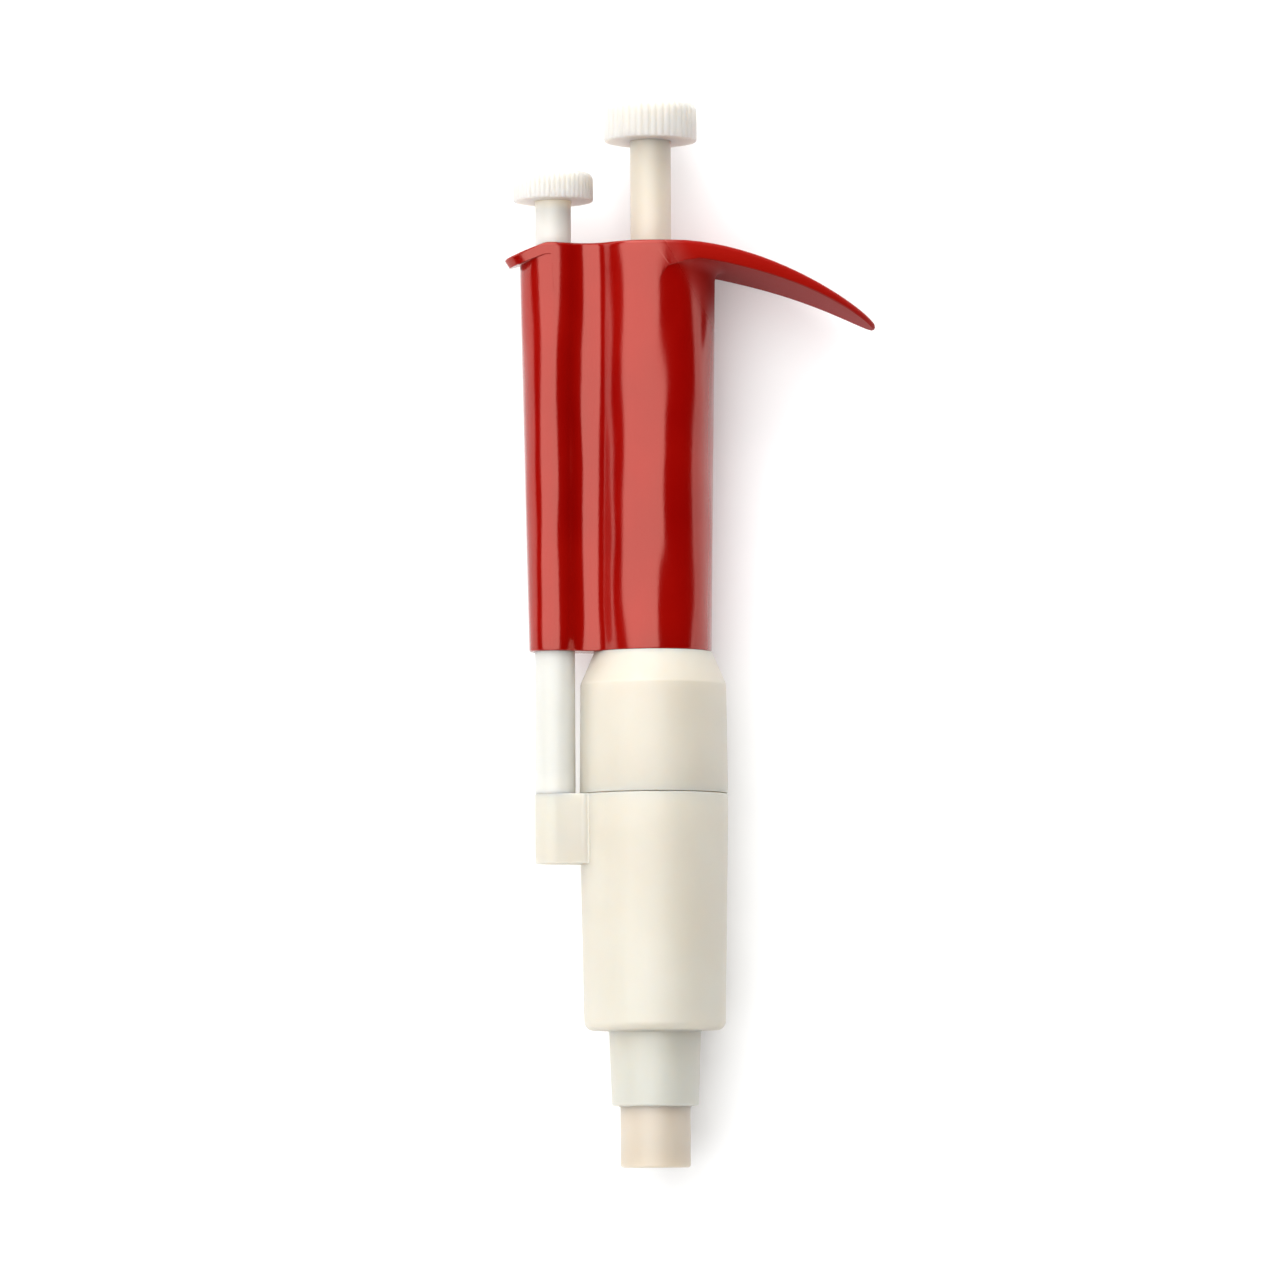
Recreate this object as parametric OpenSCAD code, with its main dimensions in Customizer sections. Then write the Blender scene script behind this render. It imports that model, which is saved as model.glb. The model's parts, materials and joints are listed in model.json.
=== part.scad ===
// Hand-held large-volume pipette with a push button, a tip ejector and a finger hook.
// Every sub-part is drawn standing up, with the tip cone's mouth at z = 0, the main axis
// along z, the finger hook toward +x and the ejector toward -x. laid() then puts it down
// on its side, as it rests on a bench: +Y toward the push button, +X toward the hook.

/* [Overall] */
// Height of the push button's top above the tip cone's mouth
overall_length = 230; // [229:0.5:232]
// Distance between the main axis and the ejector's axis
ejector_offset = 21.3; // [21.2:0.1:21.5]
// Roll about the main axis when the finger hook rests on the bench
rest_roll = 8; // [0:0.5:12]

/* [Tip cone and barrel] */
// Radius of the cone that a tip is pushed onto
tip_cone_r = 7.5; // [7.3:0.1:7.6]
// Length of the tip cone below the sleeve's nose
tip_cone_h = 13; // [11:0.5:13]
// Outer radius of the barrel inside the sleeve
barrel_r = 12.5; // [12.3:0.1:12.6]
// Radius of the bore that the piston slides in
cylinder_r = 10; // [9.8:0.1:10.2]
// Height of the cylinder's floor above the mouth
cylinder_floor_z = 36; // [34:0.5:36]

/* [Ejector sleeve] */
// Radius at the top rim of the sleeve
sleeve_top_r = 16; // [15.6:0.1:16.2]
// Radius at the foot of the sleeve
sleeve_foot_r = 15.2; // [14.8:0.1:15.4]
// Height of the sleeve's foot above the mouth
sleeve_foot_z = 29.3; // [28:0.1:30]
// Height of the sleeve's top rim above the mouth
sleeve_top_z = 80; // [78:0.5:82]
// Radius at the top of the nose
nose_top_r = 9.85; // [9.6:0.05:10.2]
// Radius at the mouth of the nose
nose_foot_r = 9.3; // [9.1:0.1:9.5]
// Height of the side lug that holds the ejector tube
lug_h = 15; // [12:0.5:18]
// Radius of the side lug
lug_r = 4.4; // [4.3:0.1:4.8]

/* [Barrel head] */
// Radius at the foot of the barrel head
head_foot_r = 15.95; // [15.5:0.05:16]
// Radius just below the shoulder
head_shoulder_r = 15.7; // [15.2:0.1:15.8]
// Height at which the shoulder starts
shoulder_z = 104.1; // [100:0.1:106]

/* [Handle] */
// Height of the handle's lower edge
handle_foot_z = 110.6; // [109:0.1:112]
// Height of the handle's top plate
handle_top_z = 198.5; // [198:0.5:200]
// Radius of the main lobe at the foot
main_foot_r = 12.6; // [12.4:0.1:13]
// Radius of the main lobe at the top
main_top_r = 13.9; // [13.5:0.1:14.2]
// Radius of the ejector lobe at the foot
lobe_foot_r = 5.5; // [5.4:0.1:5.8]
// Radius of the ejector lobe at the top
lobe_top_r = 7.3; // [7.1:0.1:7.6]
// Radius of the hollow between the two lobes
valley_r = 6; // [4:0.5:7]
// Rounding of the edge around the top plate
top_edge_r = 1.1; // [0.6:0.1:1.5]

/* [Finger hook and beak] */
// Reach of the finger hook from the main axis
hook_reach = 49.1; // [44:0.1:52]
// Drop of the hook's tip below the top plate
hook_drop = 16.1; // [14:0.1:20]
// Thickness of the hook at its root
hook_t = 3.6; // [2.4:0.1:4]
// Half of the hook's width at its root
hook_half_w = 13.4; // [11:0.1:13.5]
// Reach of the small beak over the ejector side
beak_reach = 32.4; // [30:0.1:33]
// Slope of the beak below the level
beak_slope = 26; // [15:1:35]
// Thickness of the beak
beak_t = 2; // [1.6:0.1:2.4]
// How sharply the hook's droop grows toward its tip
droop_power = 1.8; // [1.5:0.1:2.2]

/* [Plunger] */
// Radius of the plunger rod
rod_r = 4.4; // [4.3:0.05:4.5]
// Radius of the push button over its ribs
button_r = 10.05; // [9.6:0.05:10.4]
// Height of the push button
button_h = 8.6; // [8:0.1:9.2]
// Number of ribs around the push button
button_ribs = 40; // [30:1:50]
// Measuring stroke, down to the first stop
stroke = 16; // [12:0.5:16]
// Blow-out stroke, past the first stop
blowout = 3.5; // [2:0.25:3.5]

/* [Ejector] */
// Radius of the ejector tube below the handle
eject_tube_r = 4.3; // [4.2:0.05:4.35]
// Radius of the ejector shaft above the handle
eject_shaft_r = 3.85; // [3.7:0.05:3.95]
// Radius of the ejector button over its ribs
eject_button_r = 8.65; // [8.3:0.05:8.9]
// Height of the ejector button
eject_button_h = 6.4; // [5.8:0.1:6.6]
// Height of the ejector button's top above the mouth
eject_button_z = 214.4; // [213.5:0.1:215]
// Number of ribs around the ejector button
eject_button_ribs = 46; // [36:1:56]

/* [Hidden] */
$fn = 96;

run_gap = 0.06;      // radial gap of a sliding fit
part_gap = 0.05;     // axial gap between pieces that only meet
skin_gap = 0.3;      // gap between pieces that pass without touching
fine = 0.02;         // gap between pieces fixed together
past = 1;            // how far a cutter runs past a face

sleeve_nose_z = tip_cone_h + 0.15;
sleeve_bore_r = barrel_r + 0.6;
barrel_neck_r = tip_cone_r + 0.3;
nose_bore_r = barrel_neck_r + skin_gap;
head_foot_z = sleeve_top_z + 0.15;
barrel_top_z = 96;
gasket_h = 1.5;
air_bore_r = 1.5;
filter_r = 5.15;
filter_z = 1;
filter_h = 7;

droop_x = 4;                               // where the level top plate starts to droop
inner_r = 10;                              // bore of the handle's main lobe
neck_r = inner_r - fine;                   // pieces that stand still in that bore
neck_top_z = handle_foot_z + 9.9;
cage_top_z = neck_top_z + 21;
cage_floor_h = 2.5;
cage_r = 7.2;
lip_r = 6.3;
lip_h = 1.5;
stop_ring_r = cage_r - skin_gap;
stop_ring_top_z = cage_top_z - lip_h;
stop_ring_h = 2.6;
stop_ring_bore_r = 3.2;
seat_h = 1;
rod_foot_z = stop_ring_top_z + stroke + part_gap;
bore_top_z = handle_top_z - 6;
nut_h = 6;
collar_h = 3;
collar_r = 9.3;
collar_top_z = bore_top_z - nut_h - part_gap;
bush_r = 5.8;
bush_top_z = handle_top_z - 0.4;
button_foot_z = overall_length - button_h;

piston_r = cylinder_r - 0.15;
piston_seal_r = cylinder_r - part_gap;
piston_foot_z = cylinder_floor_z + stroke + blowout + 1;
piston_h = 9.5;
seal_wire_r = 0.75;
seal_z = piston_foot_z + 4;
piston_rod_r = 2.5;
piston_rod_foot_z = piston_foot_z + 3.5;
piston_rod_top_z = rod_foot_z + 19;
screw_shank_r = 1.4;
screw_head_r = 3;

lobe_guide_top_z = 160;                    // top of the long guide bore in the ejector lobe
lobe_bore_r = 5.7;                         // wider spring bore above it
lobe_bore_top_z = 194;
tube_top_z = 155;
tube_inner_r = 3;
lug_foot_z = sleeve_top_z - lug_h;
spigot_r = 2.5;
spigot_foot_z = lug_foot_z + 5;
clip_foot_z = 191.5;
clip_h = 2.4;
eject_button_foot_z = eject_button_z - eject_button_h;

return_spring_r = 8.2;
return_wire_r = 0.6;
blowout_spring_r = 5.6;
blowout_wire_r = 0.75;
eject_spring_r = 4.85;
eject_wire_r = 0.4;

// ---- Helpers ----

module laid() {
  rotate([-90, 0, 0]) rotate([0, 0, rest_roll]) children();
}

module on_ejector_axis() {
  translate([-ejector_offset, 0, 0]) children();
}

// A plain round bar from one height to another
module bar(r, z0, z1) {
  translate([0, 0, z0]) cylinder(r = r, h = z1 - z0);
}

// A cutter that runs past both ends of a round hole
module hole(r, z0, z1) {
  bar(r, z0 - past, z1 + past);
}

module tube(r, bore, z0, z1) {
  difference() {
    bar(r, z0, z1);
    hole(bore, z0, z1);
  }
}

// Points of an arc about c, from angle a0 to a1
function arc(c, r, a0, a1, steps) =
  [for (k = [0:steps]) let (a = a0 + (a1 - a0) * k / steps) c + r * [cos(a), sin(a)]];

function mix(a, b, t) = a + (b - a) * t;

// A closed skin over rings of points that all have the same number of points,
// each counter-clockwise as seen from the last ring's side
module loft(rings) {
  n = len(rings[0]);
  last = (len(rings) - 1) * n;
  corner = function(k, i) k * n + i % n;
  sides = [
    for (k = [0:len(rings) - 2], i = [0:n - 1])
      each [
        [corner(k, i), corner(k + 1, i), corner(k + 1, i + 1)],
        [corner(k, i), corner(k + 1, i + 1), corner(k, i + 1)]
      ]
  ];
  foot = [for (i = [0:n - 1]) i];
  top = [for (i = [n - 1:-1:0]) last + i];
  polyhedron([for (ring = rings) each ring], concat(sides, [foot, top]), convexity = 8);
}

// A coil spring with closed ends, its wire's outside between z0 and z1
module coil(mean_r, wire_r, z0, z1, turns) {
  steps = 20;
  sides = 6;
  total = turns * steps;
  dead = steps;
  rise = z1 - z0 - 4 * wire_r;
  // The first and last turns lie flat on the seat and climb one wire each
  height = function(k)
    k < dead ? z0 + wire_r + wire_r * k / dead
    : k > total - dead ? z1 - wire_r - wire_r * (total - k) / dead
    : z0 + 2 * wire_r + rise * (k - dead) / (total - 2 * dead);
  loft([
    for (k = [total:-1:0])
      let (a = 360 * k / steps)
        [for (s = [0:sides - 1])
          let (b = 360 * s / sides, r = mean_r + wire_r * cos(b))
            [r * cos(a), r * sin(a), height(k) + wire_r * sin(b)]]
  ]);
}

// A low round button with a rounded top edge and upright ribs around it
module ribbed_button(r, z0, h, ribs, edge = 1.2) {
  groove_r = PI * r / ribs * 0.42;
  difference() {
    translate([0, 0, z0])
      rotate_extrude()
        polygon(concat([[0, 0], [r - 0.3, 0], [r, 0.3]],
                       arc([r - edge, h - edge], edge, 0, 90, 6), [[0, h]]));
    for (k = [0:ribs - 1])
      rotate([0, 0, 360 * k / ribs])
        translate([r + groove_r * 0.45, 0, z0 - past])
          cylinder(r = groove_r, h = h + 2 * past, $fn = 16);
  }
}

// ---- Handle ----

// Level outline of the handle: two round lobes joined by hollow fillets, all moved
// inward by d
function handle_outline(main_r, lobe_r, d) =
  let (
    e = ejector_offset,
    far = main_r + valley_r,
    near = lobe_r + valley_r,
    vx = -(far * far - near * near + e * e) / (2 * e),
    vy = sqrt(far * far - vx * vx),
    a_main = atan2(vy, vx),
    a_lobe = atan2(vy, vx + e)
  )
  concat(
    arc([0, 0], main_r - d, -a_main, a_main, 44),
    arc([vx, vy], valley_r + d, a_main - 180, a_lobe - 180, 9),
    arc([-e, 0], lobe_r - d, a_lobe, 360 - a_lobe, 28),
    arc([vx, -vy], valley_r + d, 180 - a_lobe, 180 - a_main, 9)
  );

function handle_ring(z, d) =
  let (t = (z - handle_foot_z) / (handle_top_z - handle_foot_z))
  [for (p = handle_outline(mix(main_foot_r, main_top_r, t), mix(lobe_foot_r, lobe_top_r, t), d))
    [p[0], p[1], z]];

module handle_body() {
  foot_edge = 0.4;
  straight_top = handle_top_z - top_edge_r;
  edge_steps = 4;
  loft(concat(
    [handle_ring(handle_foot_z, foot_edge)],
    [for (k = [0:5]) handle_ring(mix(handle_foot_z + foot_edge, straight_top, k / 5), 0)],
    [for (k = [1:edge_steps])
      let (a = 90 * k / edge_steps)
        handle_ring(straight_top + top_edge_r * sin(a), top_edge_r * (1 - cos(a)))]
  ));
}

// Height of the hook's upper line over x: level at first, then drooping toward the tip
function hook_top(x) =
  handle_top_z
  - (x < droop_x ? 0 : hook_drop * pow((x - droop_x) / (hook_reach - droop_x), droop_power));

// The finger hook: a drooping tongue, broad at the root and round at the tip
module hook_tongue() {
  stations = 22;
  corner_steps = 4;
  root_x = 2;
  widest_x = 12;
  step = 0.5;
  loft([
    for (k = [0:stations])
      let (
        t = 1 - pow(1 - k / stations, 1.6),
        x = mix(root_x, hook_reach, t),
        ahead = [2 * step, hook_top(x + step) - hook_top(x - step)],
        along = ahead / norm(ahead),
        down = [along[1], -along[0]],
        reach = max(0, x - widest_x) / (hook_reach + 0.1 - widest_x),
        half_w = max(0.9, hook_half_w * sqrt(max(0, 1 - reach * reach))),
        thick = mix(hook_t, hook_t * 0.5, pow(t, 1.5)),
        edge = min(thick / 2, half_w) - 0.05
      )
      [for (q = [0:3], j = [0:corner_steps])
        let (
          a = 90 * q + 90 * j / corner_steps,
          side = (q == 0 || q == 3) ? 1 : -1,
          face = q < 2 ? 1 : -1,
          w = side * (half_w - edge) + edge * cos(a),
          h = face * (thick / 2 - edge) + edge * sin(a),
          c = [x, hook_top(x)] + down * (thick / 2 - h)
        )
        [c[0], w, c[1]]]
  ]);
}

// The small fillet where the handle's side turns out into the hook's underside
module hook_fillet() {
  fillet_r = 3;
  round_r = 9;
  root_z = hook_top(main_top_r) - hook_t + 0.4;
  steps = 8;
  loft([
    for (k = [0:steps])
      let (
        rise = fillet_r * sin(90 * k / steps),
        z = root_z - fillet_r + rise,
        side = mix(main_foot_r, main_top_r, (z - handle_foot_z) / (handle_top_z - handle_foot_z)),
        cx = side - 0.3 - round_r + fillet_r - sqrt(fillet_r * fillet_r - rise * rise)
      )
      [for (p = arc([cx, 0], round_r, 0, 350, 35)) [p[0], p[1], z]]
  ]);
}

// The small beak that runs out and down over the ejector lobe's outer side
module beak() {
  tip_r = 3.4;
  root_r = lobe_top_r - 1;
  hull() {
    translate([-ejector_offset, 0, handle_top_z - beak_t])
      cylinder(r = root_r, h = beak_t - 0.3, $fn = 32);
    translate([-ejector_offset - root_r + 2.4, 0, handle_top_z - 0.3])
      rotate([0, -beak_slope, 0])
        translate([-(beak_reach - ejector_offset - root_r) / cos(beak_slope), 0, -beak_t])
          scale([0.6, 1, 1]) cylinder(r = tip_r, h = beak_t, $fn = 32);
  }
}

module handle_cavities() {
  hole(inner_r, handle_foot_z, bore_top_z - past);
  hole(bush_r, bore_top_z, handle_top_z);
  on_ejector_axis() {
    hole(eject_tube_r + run_gap, handle_foot_z, lobe_guide_top_z);
    bar(lobe_bore_r, lobe_guide_top_z, lobe_bore_top_z);
    hole(eject_shaft_r + run_gap, lobe_bore_top_z - 0.5, handle_top_z);
  }
}

module handle() {
  color("firebrick")
    laid()
      difference() {
        union() {
          handle_body();
          beak();
        }
        handle_cavities();
      }
}

// The hook is moulded with the handle. It is a solid of its own, cut where it meets the
// main lobe, so that its thin tongue and the bored handle both stay simple.
module finger_hook() {
  color("firebrick")
    laid()
      difference() {
        union() {
          hook_tongue();
          hook_fillet();
        }
        translate([0, 0, handle_foot_z])
          cylinder(r1 = main_foot_r + fine, r2 = main_top_r + fine, h = handle_top_z - handle_foot_z);
        bar(main_top_r - top_edge_r, handle_top_z - past, handle_top_z + past);
      }
}

module plunger_bush() {
  color("ivory")
    laid() {
      difference() {
        bar(bush_r - fine, bore_top_z, bush_top_z);
        hole(rod_r + run_gap, bore_top_z, bush_top_z);
      }
    }
}

module stroke_nut() {
  color("goldenrod")
    laid() tube(neck_r, rod_r + skin_gap, bore_top_z - nut_h, bore_top_z - fine);
}

// ---- Stops and springs ----

module stop_cage() {
  color("whitesmoke")
    laid()
      difference() {
        bar(neck_r, neck_top_z + fine, cage_top_z);
        bar(cage_r, neck_top_z + cage_floor_h, cage_top_z - lip_h);
        hole(stop_ring_bore_r, neck_top_z, neck_top_z + cage_floor_h);
        hole(lip_r, cage_top_z - lip_h, cage_top_z);
      }
}

module spring_seat() {
  color("silver")
    laid() tube(neck_r, lip_r, cage_top_z + fine, cage_top_z + seat_h);
}

module return_spring() {
  color("lightsteelblue")
    laid()
      coil(return_spring_r, return_wire_r, cage_top_z + seat_h + fine,
           collar_top_z - collar_h - fine, 9);
}

module blowout_spring() {
  color("lightsteelblue")
    laid()
      coil(blowout_spring_r, blowout_wire_r, neck_top_z + cage_floor_h + fine,
           stop_ring_top_z - stop_ring_h - fine, 5);
}

module first_stop_ring() {
  color("silver")
    laid()
      tube(stop_ring_r, stop_ring_bore_r, stop_ring_top_z - stop_ring_h,
           stop_ring_top_z - fine);
}

module ejector_spring() {
  color("lightsteelblue")
    laid()
      on_ejector_axis()
        coil(eject_spring_r, eject_wire_r, lobe_guide_top_z + fine, clip_foot_z - fine, 10);
}

// ---- Barrel ----

module barrel_head() {
  inside_r = 8;
  guide_h = 2.5;
  color("antiquewhite")
    laid()
      difference() {
        union() {
          translate([0, 0, head_foot_z])
            cylinder(r1 = head_foot_r, r2 = head_shoulder_r, h = shoulder_z - head_foot_z);
          translate([0, 0, shoulder_z])
            cylinder(r1 = head_shoulder_r, r2 = main_foot_r + 0.15, h = handle_foot_z - fine - shoulder_z);
          bar(neck_r, handle_foot_z - past, neck_top_z);
        }
        hole(barrel_r + fine, head_foot_z, barrel_top_z + gasket_h - past);
        bar(inside_r, barrel_top_z, neck_top_z - guide_h);
        hole(piston_rod_r + run_gap, neck_top_z - guide_h, neck_top_z);
      }
}

module barrel_gasket() {
  color("dimgray")
    laid()
      tube(barrel_r - fine, cylinder_r, barrel_top_z + fine, barrel_top_z + gasket_h - fine);
}

module barrel() {
  cone_top_z = cylinder_floor_z - 1;
  color("wheat")
    laid()
      difference() {
        union() {
          bar(tip_cone_r, 0, tip_cone_h);
          bar(barrel_neck_r, tip_cone_h, sleeve_foot_z + 3);
          translate([0, 0, sleeve_foot_z + 3])
            cylinder(r1 = barrel_neck_r, r2 = barrel_r, h = cone_top_z - sleeve_foot_z - 3);
          bar(barrel_r, cone_top_z, barrel_top_z);
        }
        bar(cylinder_r, cylinder_floor_z, barrel_top_z + past);
        hole(air_bore_r, filter_z + filter_h, cylinder_floor_z);
        bar(filter_r + fine, -past, filter_z + filter_h + part_gap);
      }
}

module tip_filter() {
  color("white")
    laid() bar(filter_r, filter_z, filter_z + filter_h);
}

// ---- Piston ----

module piston_rod() {
  color("silver")
    laid()
      difference() {
        bar(piston_rod_r, piston_rod_foot_z, piston_rod_top_z);
        bar(screw_shank_r + fine, piston_rod_foot_z - past, piston_rod_foot_z + 8);
      }
}

module piston() {
  groove_h = 1.8;
  groove_r = piston_seal_r - 2 * seal_wire_r - fine;
  color("gainsboro")
    laid()
      difference() {
        bar(piston_r, piston_foot_z, piston_foot_z + piston_h);
        translate([0, 0, seal_z - groove_h / 2])
          tube(piston_r + past, groove_r, 0, groove_h);
        bar(piston_rod_r + fine, piston_rod_foot_z, piston_foot_z + piston_h + past);
        bar(screw_shank_r + fine, piston_foot_z - past, piston_rod_foot_z + past);
        bar(screw_head_r + 0.2, piston_foot_z - past, piston_foot_z + 2);
      }
}

module piston_seal() {
  color("black")
    laid()
      translate([0, 0, seal_z])
        rotate_extrude()
          translate([piston_seal_r - seal_wire_r, 0]) circle(r = seal_wire_r, $fn = 24);
}

module piston_screw() {
  head_h = 1.7;
  head_top_z = piston_foot_z + 2 - fine;
  slot_w = 0.8;
  color("silver")
    laid()
      difference() {
        union() {
          bar(screw_head_r, head_top_z - head_h, head_top_z);
          bar(screw_shank_r, head_top_z - fine, piston_rod_foot_z + 7);
        }
        translate([-screw_head_r - past, -slot_w / 2, head_top_z - head_h - past])
          cube([2 * (screw_head_r + past), slot_w, past + 0.8]);
      }
}

// ---- Plunger ----

module push_button() {
  socket_h = 4;
  color("ivory")
    laid()
      difference() {
        ribbed_button(button_r, button_foot_z, button_h, button_ribs);
        bar(rod_r + fine, button_foot_z - past, button_foot_z + socket_h + fine);
      }
}

module plunger_rod() {
  socket_h = 20;
  color("antiquewhite")
    laid()
      difference() {
        bar(rod_r, rod_foot_z, button_foot_z + 4);
        bar(piston_rod_r + run_gap, rod_foot_z - past, rod_foot_z + socket_h);
      }
}

module spring_collar() {
  color("silver")
    laid()
      tube(collar_r, rod_r + fine, collar_top_z - collar_h, collar_top_z);
}

// ---- Ejector ----

module ejector_button() {
  socket_h = 3.4;
  color("ivory")
    laid()
      on_ejector_axis()
        difference() {
          ribbed_button(eject_button_r, eject_button_foot_z, eject_button_h,
                        eject_button_ribs, 1);
          bar(eject_shaft_r + fine, eject_button_foot_z - past,
              eject_button_foot_z + socket_h + fine);
        }
}

module ejector_shaft() {
  plug_h = 15;
  color("gainsboro")
    laid()
      on_ejector_axis() {
        bar(eject_shaft_r, tube_top_z + fine, eject_button_foot_z + 3.4);
        bar(tube_inner_r - fine, tube_top_z - plug_h, tube_top_z + past);
      }
}

module ejector_clip() {
  color("silver")
    laid()
      on_ejector_axis()
        tube(lobe_bore_r - skin_gap, eject_shaft_r + fine, clip_foot_z, clip_foot_z + clip_h);
}

module ejector_tube() {
  color("whitesmoke")
    laid()
      on_ejector_axis()
        difference() {
          union() {
            bar(eject_tube_r, sleeve_top_z + fine, tube_top_z);
            bar(spigot_r, spigot_foot_z, sleeve_top_z + past);
          }
          bar(tube_inner_r, sleeve_top_z + 4, tube_top_z + past);
          bar(1.02, spigot_foot_z - past, spigot_foot_z + 8);
        }
}

module ejector_sleeve() {
  foot_round = 2;
  nose_edge = 0.5;
  floor_h = 2.2;
  screw_z = lug_foot_z + 2;
  color("antiquewhite")
    laid()
      difference() {
        union() {
          rotate_extrude()
            polygon(concat(
              [[0, sleeve_nose_z], [nose_foot_r - nose_edge, sleeve_nose_z]],
              arc([nose_foot_r - nose_edge, sleeve_nose_z + nose_edge], nose_edge, -60, 0, 2),
              [[nose_top_r, sleeve_foot_z]],
              arc([sleeve_foot_r - foot_round, sleeve_foot_z + foot_round], foot_round, -90, 0, 6),
              [[sleeve_top_r, sleeve_top_z - 0.3], [sleeve_top_r - 0.2, sleeve_top_z], [0, sleeve_top_z]]
            ));
          on_ejector_axis() bar(lug_r, lug_foot_z, sleeve_top_z);
          translate([-ejector_offset, -lug_r, lug_foot_z])
            cube([ejector_offset - sleeve_bore_r, 2 * lug_r, lug_h]);
        }
        bar(sleeve_bore_r, sleeve_foot_z + floor_h, sleeve_top_z + past);
        hole(nose_bore_r, sleeve_nose_z, sleeve_foot_z + floor_h);
        on_ejector_axis() {
          bar(spigot_r + fine, spigot_foot_z - fine, sleeve_top_z + past);
          hole(1.2, lug_foot_z, spigot_foot_z);
          bar(2.4, lug_foot_z - past, screw_z);
        }
      }
}

module ejector_screw() {
  head_r = 2.3;
  head_h = 1.6;
  head_top_z = lug_foot_z + 2 - fine;
  color("silver")
    laid()
      on_ejector_axis()
        difference() {
          union() {
            bar(head_r, head_top_z - head_h, head_top_z);
            bar(1, head_top_z - fine, spigot_foot_z + 7);
          }
          translate([0, 0, head_top_z - head_h - past]) cylinder(r = 1.1, h = past + 0.8, $fn = 6);
        }
}

handle();
finger_hook();
plunger_bush();
stroke_nut();
stop_cage();
spring_seat();
return_spring();
blowout_spring();
barrel_head();
barrel_gasket();
barrel();
tip_filter();
ejector_spring();
first_stop_ring();
piston_rod();
piston();
piston_seal();
piston_screw();
push_button();
plunger_rod();
spring_collar();
ejector_button();
ejector_shaft();
ejector_clip();
ejector_tube();
ejector_sleeve();
ejector_screw();
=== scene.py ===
import json
import math

import bmesh
import bpy
from mathutils import Matrix, Vector


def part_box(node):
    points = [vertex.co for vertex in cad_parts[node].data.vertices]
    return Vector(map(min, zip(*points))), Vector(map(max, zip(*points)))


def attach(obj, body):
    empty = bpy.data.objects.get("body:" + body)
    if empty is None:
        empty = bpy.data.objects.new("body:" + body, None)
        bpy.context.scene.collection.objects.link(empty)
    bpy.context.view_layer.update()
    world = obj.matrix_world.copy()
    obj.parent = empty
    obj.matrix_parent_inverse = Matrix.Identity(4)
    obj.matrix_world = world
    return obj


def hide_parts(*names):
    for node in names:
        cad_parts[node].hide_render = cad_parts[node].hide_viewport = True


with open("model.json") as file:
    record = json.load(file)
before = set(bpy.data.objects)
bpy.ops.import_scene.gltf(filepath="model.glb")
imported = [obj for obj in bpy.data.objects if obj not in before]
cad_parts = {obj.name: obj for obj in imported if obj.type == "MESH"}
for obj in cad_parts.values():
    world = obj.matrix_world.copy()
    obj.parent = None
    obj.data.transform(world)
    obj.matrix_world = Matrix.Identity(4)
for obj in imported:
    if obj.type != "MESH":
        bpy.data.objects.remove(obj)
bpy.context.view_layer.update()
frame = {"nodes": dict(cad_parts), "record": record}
print("frame loaded")

metre = 1000.0  # millimetres in one


def nodeSpan(node):
    # Lowest and highest corner of a node, in millimetres
    low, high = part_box(node)
    return [c * metre for c in low], [c * metre for c in high]


def footAndTop(node):
    low, high = nodeSpan(node)
    return low[1], high[1]


# The ejector's axis gives the roll of the whole object and the distance between both axes
buttonLow, buttonHigh = nodeSpan("ejector_button")
ejectorX = (buttonLow[0] + buttonHigh[0]) / 2
ejectorUp = (buttonLow[2] + buttonHigh[2]) / 2
roll = math.atan2(ejectorUp, -ejectorX)
offset = math.hypot(ejectorX, ejectorUp)
benchUp = nodeSpan("ejector_sleeve")[0][2]
layDown = (
    Matrix.Scale(1 / metre, 4)
    @ Matrix.Rotation(-math.pi / 2, 4, "X")
    @ Matrix.Rotation(roll, 4, "Z")
)

handleFoot, handleTop = footAndTop("handle")
sleeveFoot, sleeveTop = footAndTop("ejector_sleeve")
headFoot, headTop = footAndTop("barrel_head")


view = {
    "x": -3.34,  # where the camera stands beside the main axis
    "y": 10.9,  # and along it, from the tip cone's mouth
    "height": 1428.7,
    "tilt": 4.1,  # degrees that it looks up along the pipette
    "lean": -0.3,  # degrees that it is turned about its own line of sight
    "lens": 187.0,
}


def makeCamera():
    # It stands over the tip and looks almost straight down
    camera = bpy.data.objects.new("camera", bpy.data.cameras.new("camera"))
    bpy.context.collection.objects.link(camera)
    spot = Vector((view["x"], view["y"], view["height"])) / metre
    camera.matrix_world = (
        Matrix.Translation(spot)
        @ Matrix.Rotation(math.radians(view["lean"]), 4, "Z")
        @ Matrix.Rotation(math.radians(view["tilt"]), 4, "X")
    )
    camera.data.lens = view["lens"]
    camera.data.sensor_width = 36
    camera.data.clip_start = 0.02
    bpy.context.scene.camera = camera


# Large soft lamps, in metres: one overhead to the left, and a low one past the buttons
lamps = {
    "softbox": {"at": (-0.5, 0.6, 1.45), "aimY": 0.6, "size": (3.4, 2.3), "watts": 69.0},
    "topLight": {"at": (0.15, 2.2, 0.8), "aimY": 0.115, "size": (3.2, 1.3), "watts": 42.0},
}


def makeLamp(name, place, aimY, size, watts):
    lamp = bpy.data.lights.new(name, "AREA")
    lamp.shape = "RECTANGLE"
    lamp.size, lamp.size_y = size
    lamp.energy = watts
    holder = bpy.data.objects.new(name, lamp)
    bpy.context.collection.objects.link(holder)
    aim = Vector((0, aimY, 0)) - Vector(place)
    holder.matrix_world = Matrix.Translation(place) @ aim.to_track_quat("-Z", "Y").to_matrix().to_4x4()
    holder.visible_camera = False


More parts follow.
